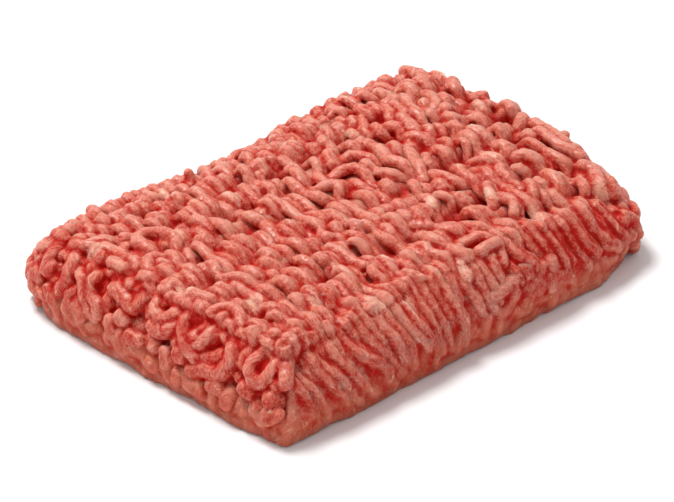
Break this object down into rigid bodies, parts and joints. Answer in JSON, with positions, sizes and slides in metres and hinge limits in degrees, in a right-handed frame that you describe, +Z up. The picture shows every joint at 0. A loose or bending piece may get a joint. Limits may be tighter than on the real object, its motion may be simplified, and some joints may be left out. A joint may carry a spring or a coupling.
{
  "type": "slab of raw minced beef",
  "caption": "Bare rectangular slab of raw minced beef: ground strands laid in cross pleats on top, lower sides pressed smooth, flat underside.",
  "frame": {"origin": "middle of the slab's box at the level of the flat base that it lies on", "axes": "+X along the slab's long side, +Y across it, away from the long side that faces the camera, +Z up"},
  "size_m": [0.16, 0.115, 0.033],
  "materials": {
    "raw_beef": "moist, satin, softly translucent, marbled with pale fat"
  },
  "bodies": {
    "root": {"mince_slab": "raw_beef"}
  },
  "joints": []
}
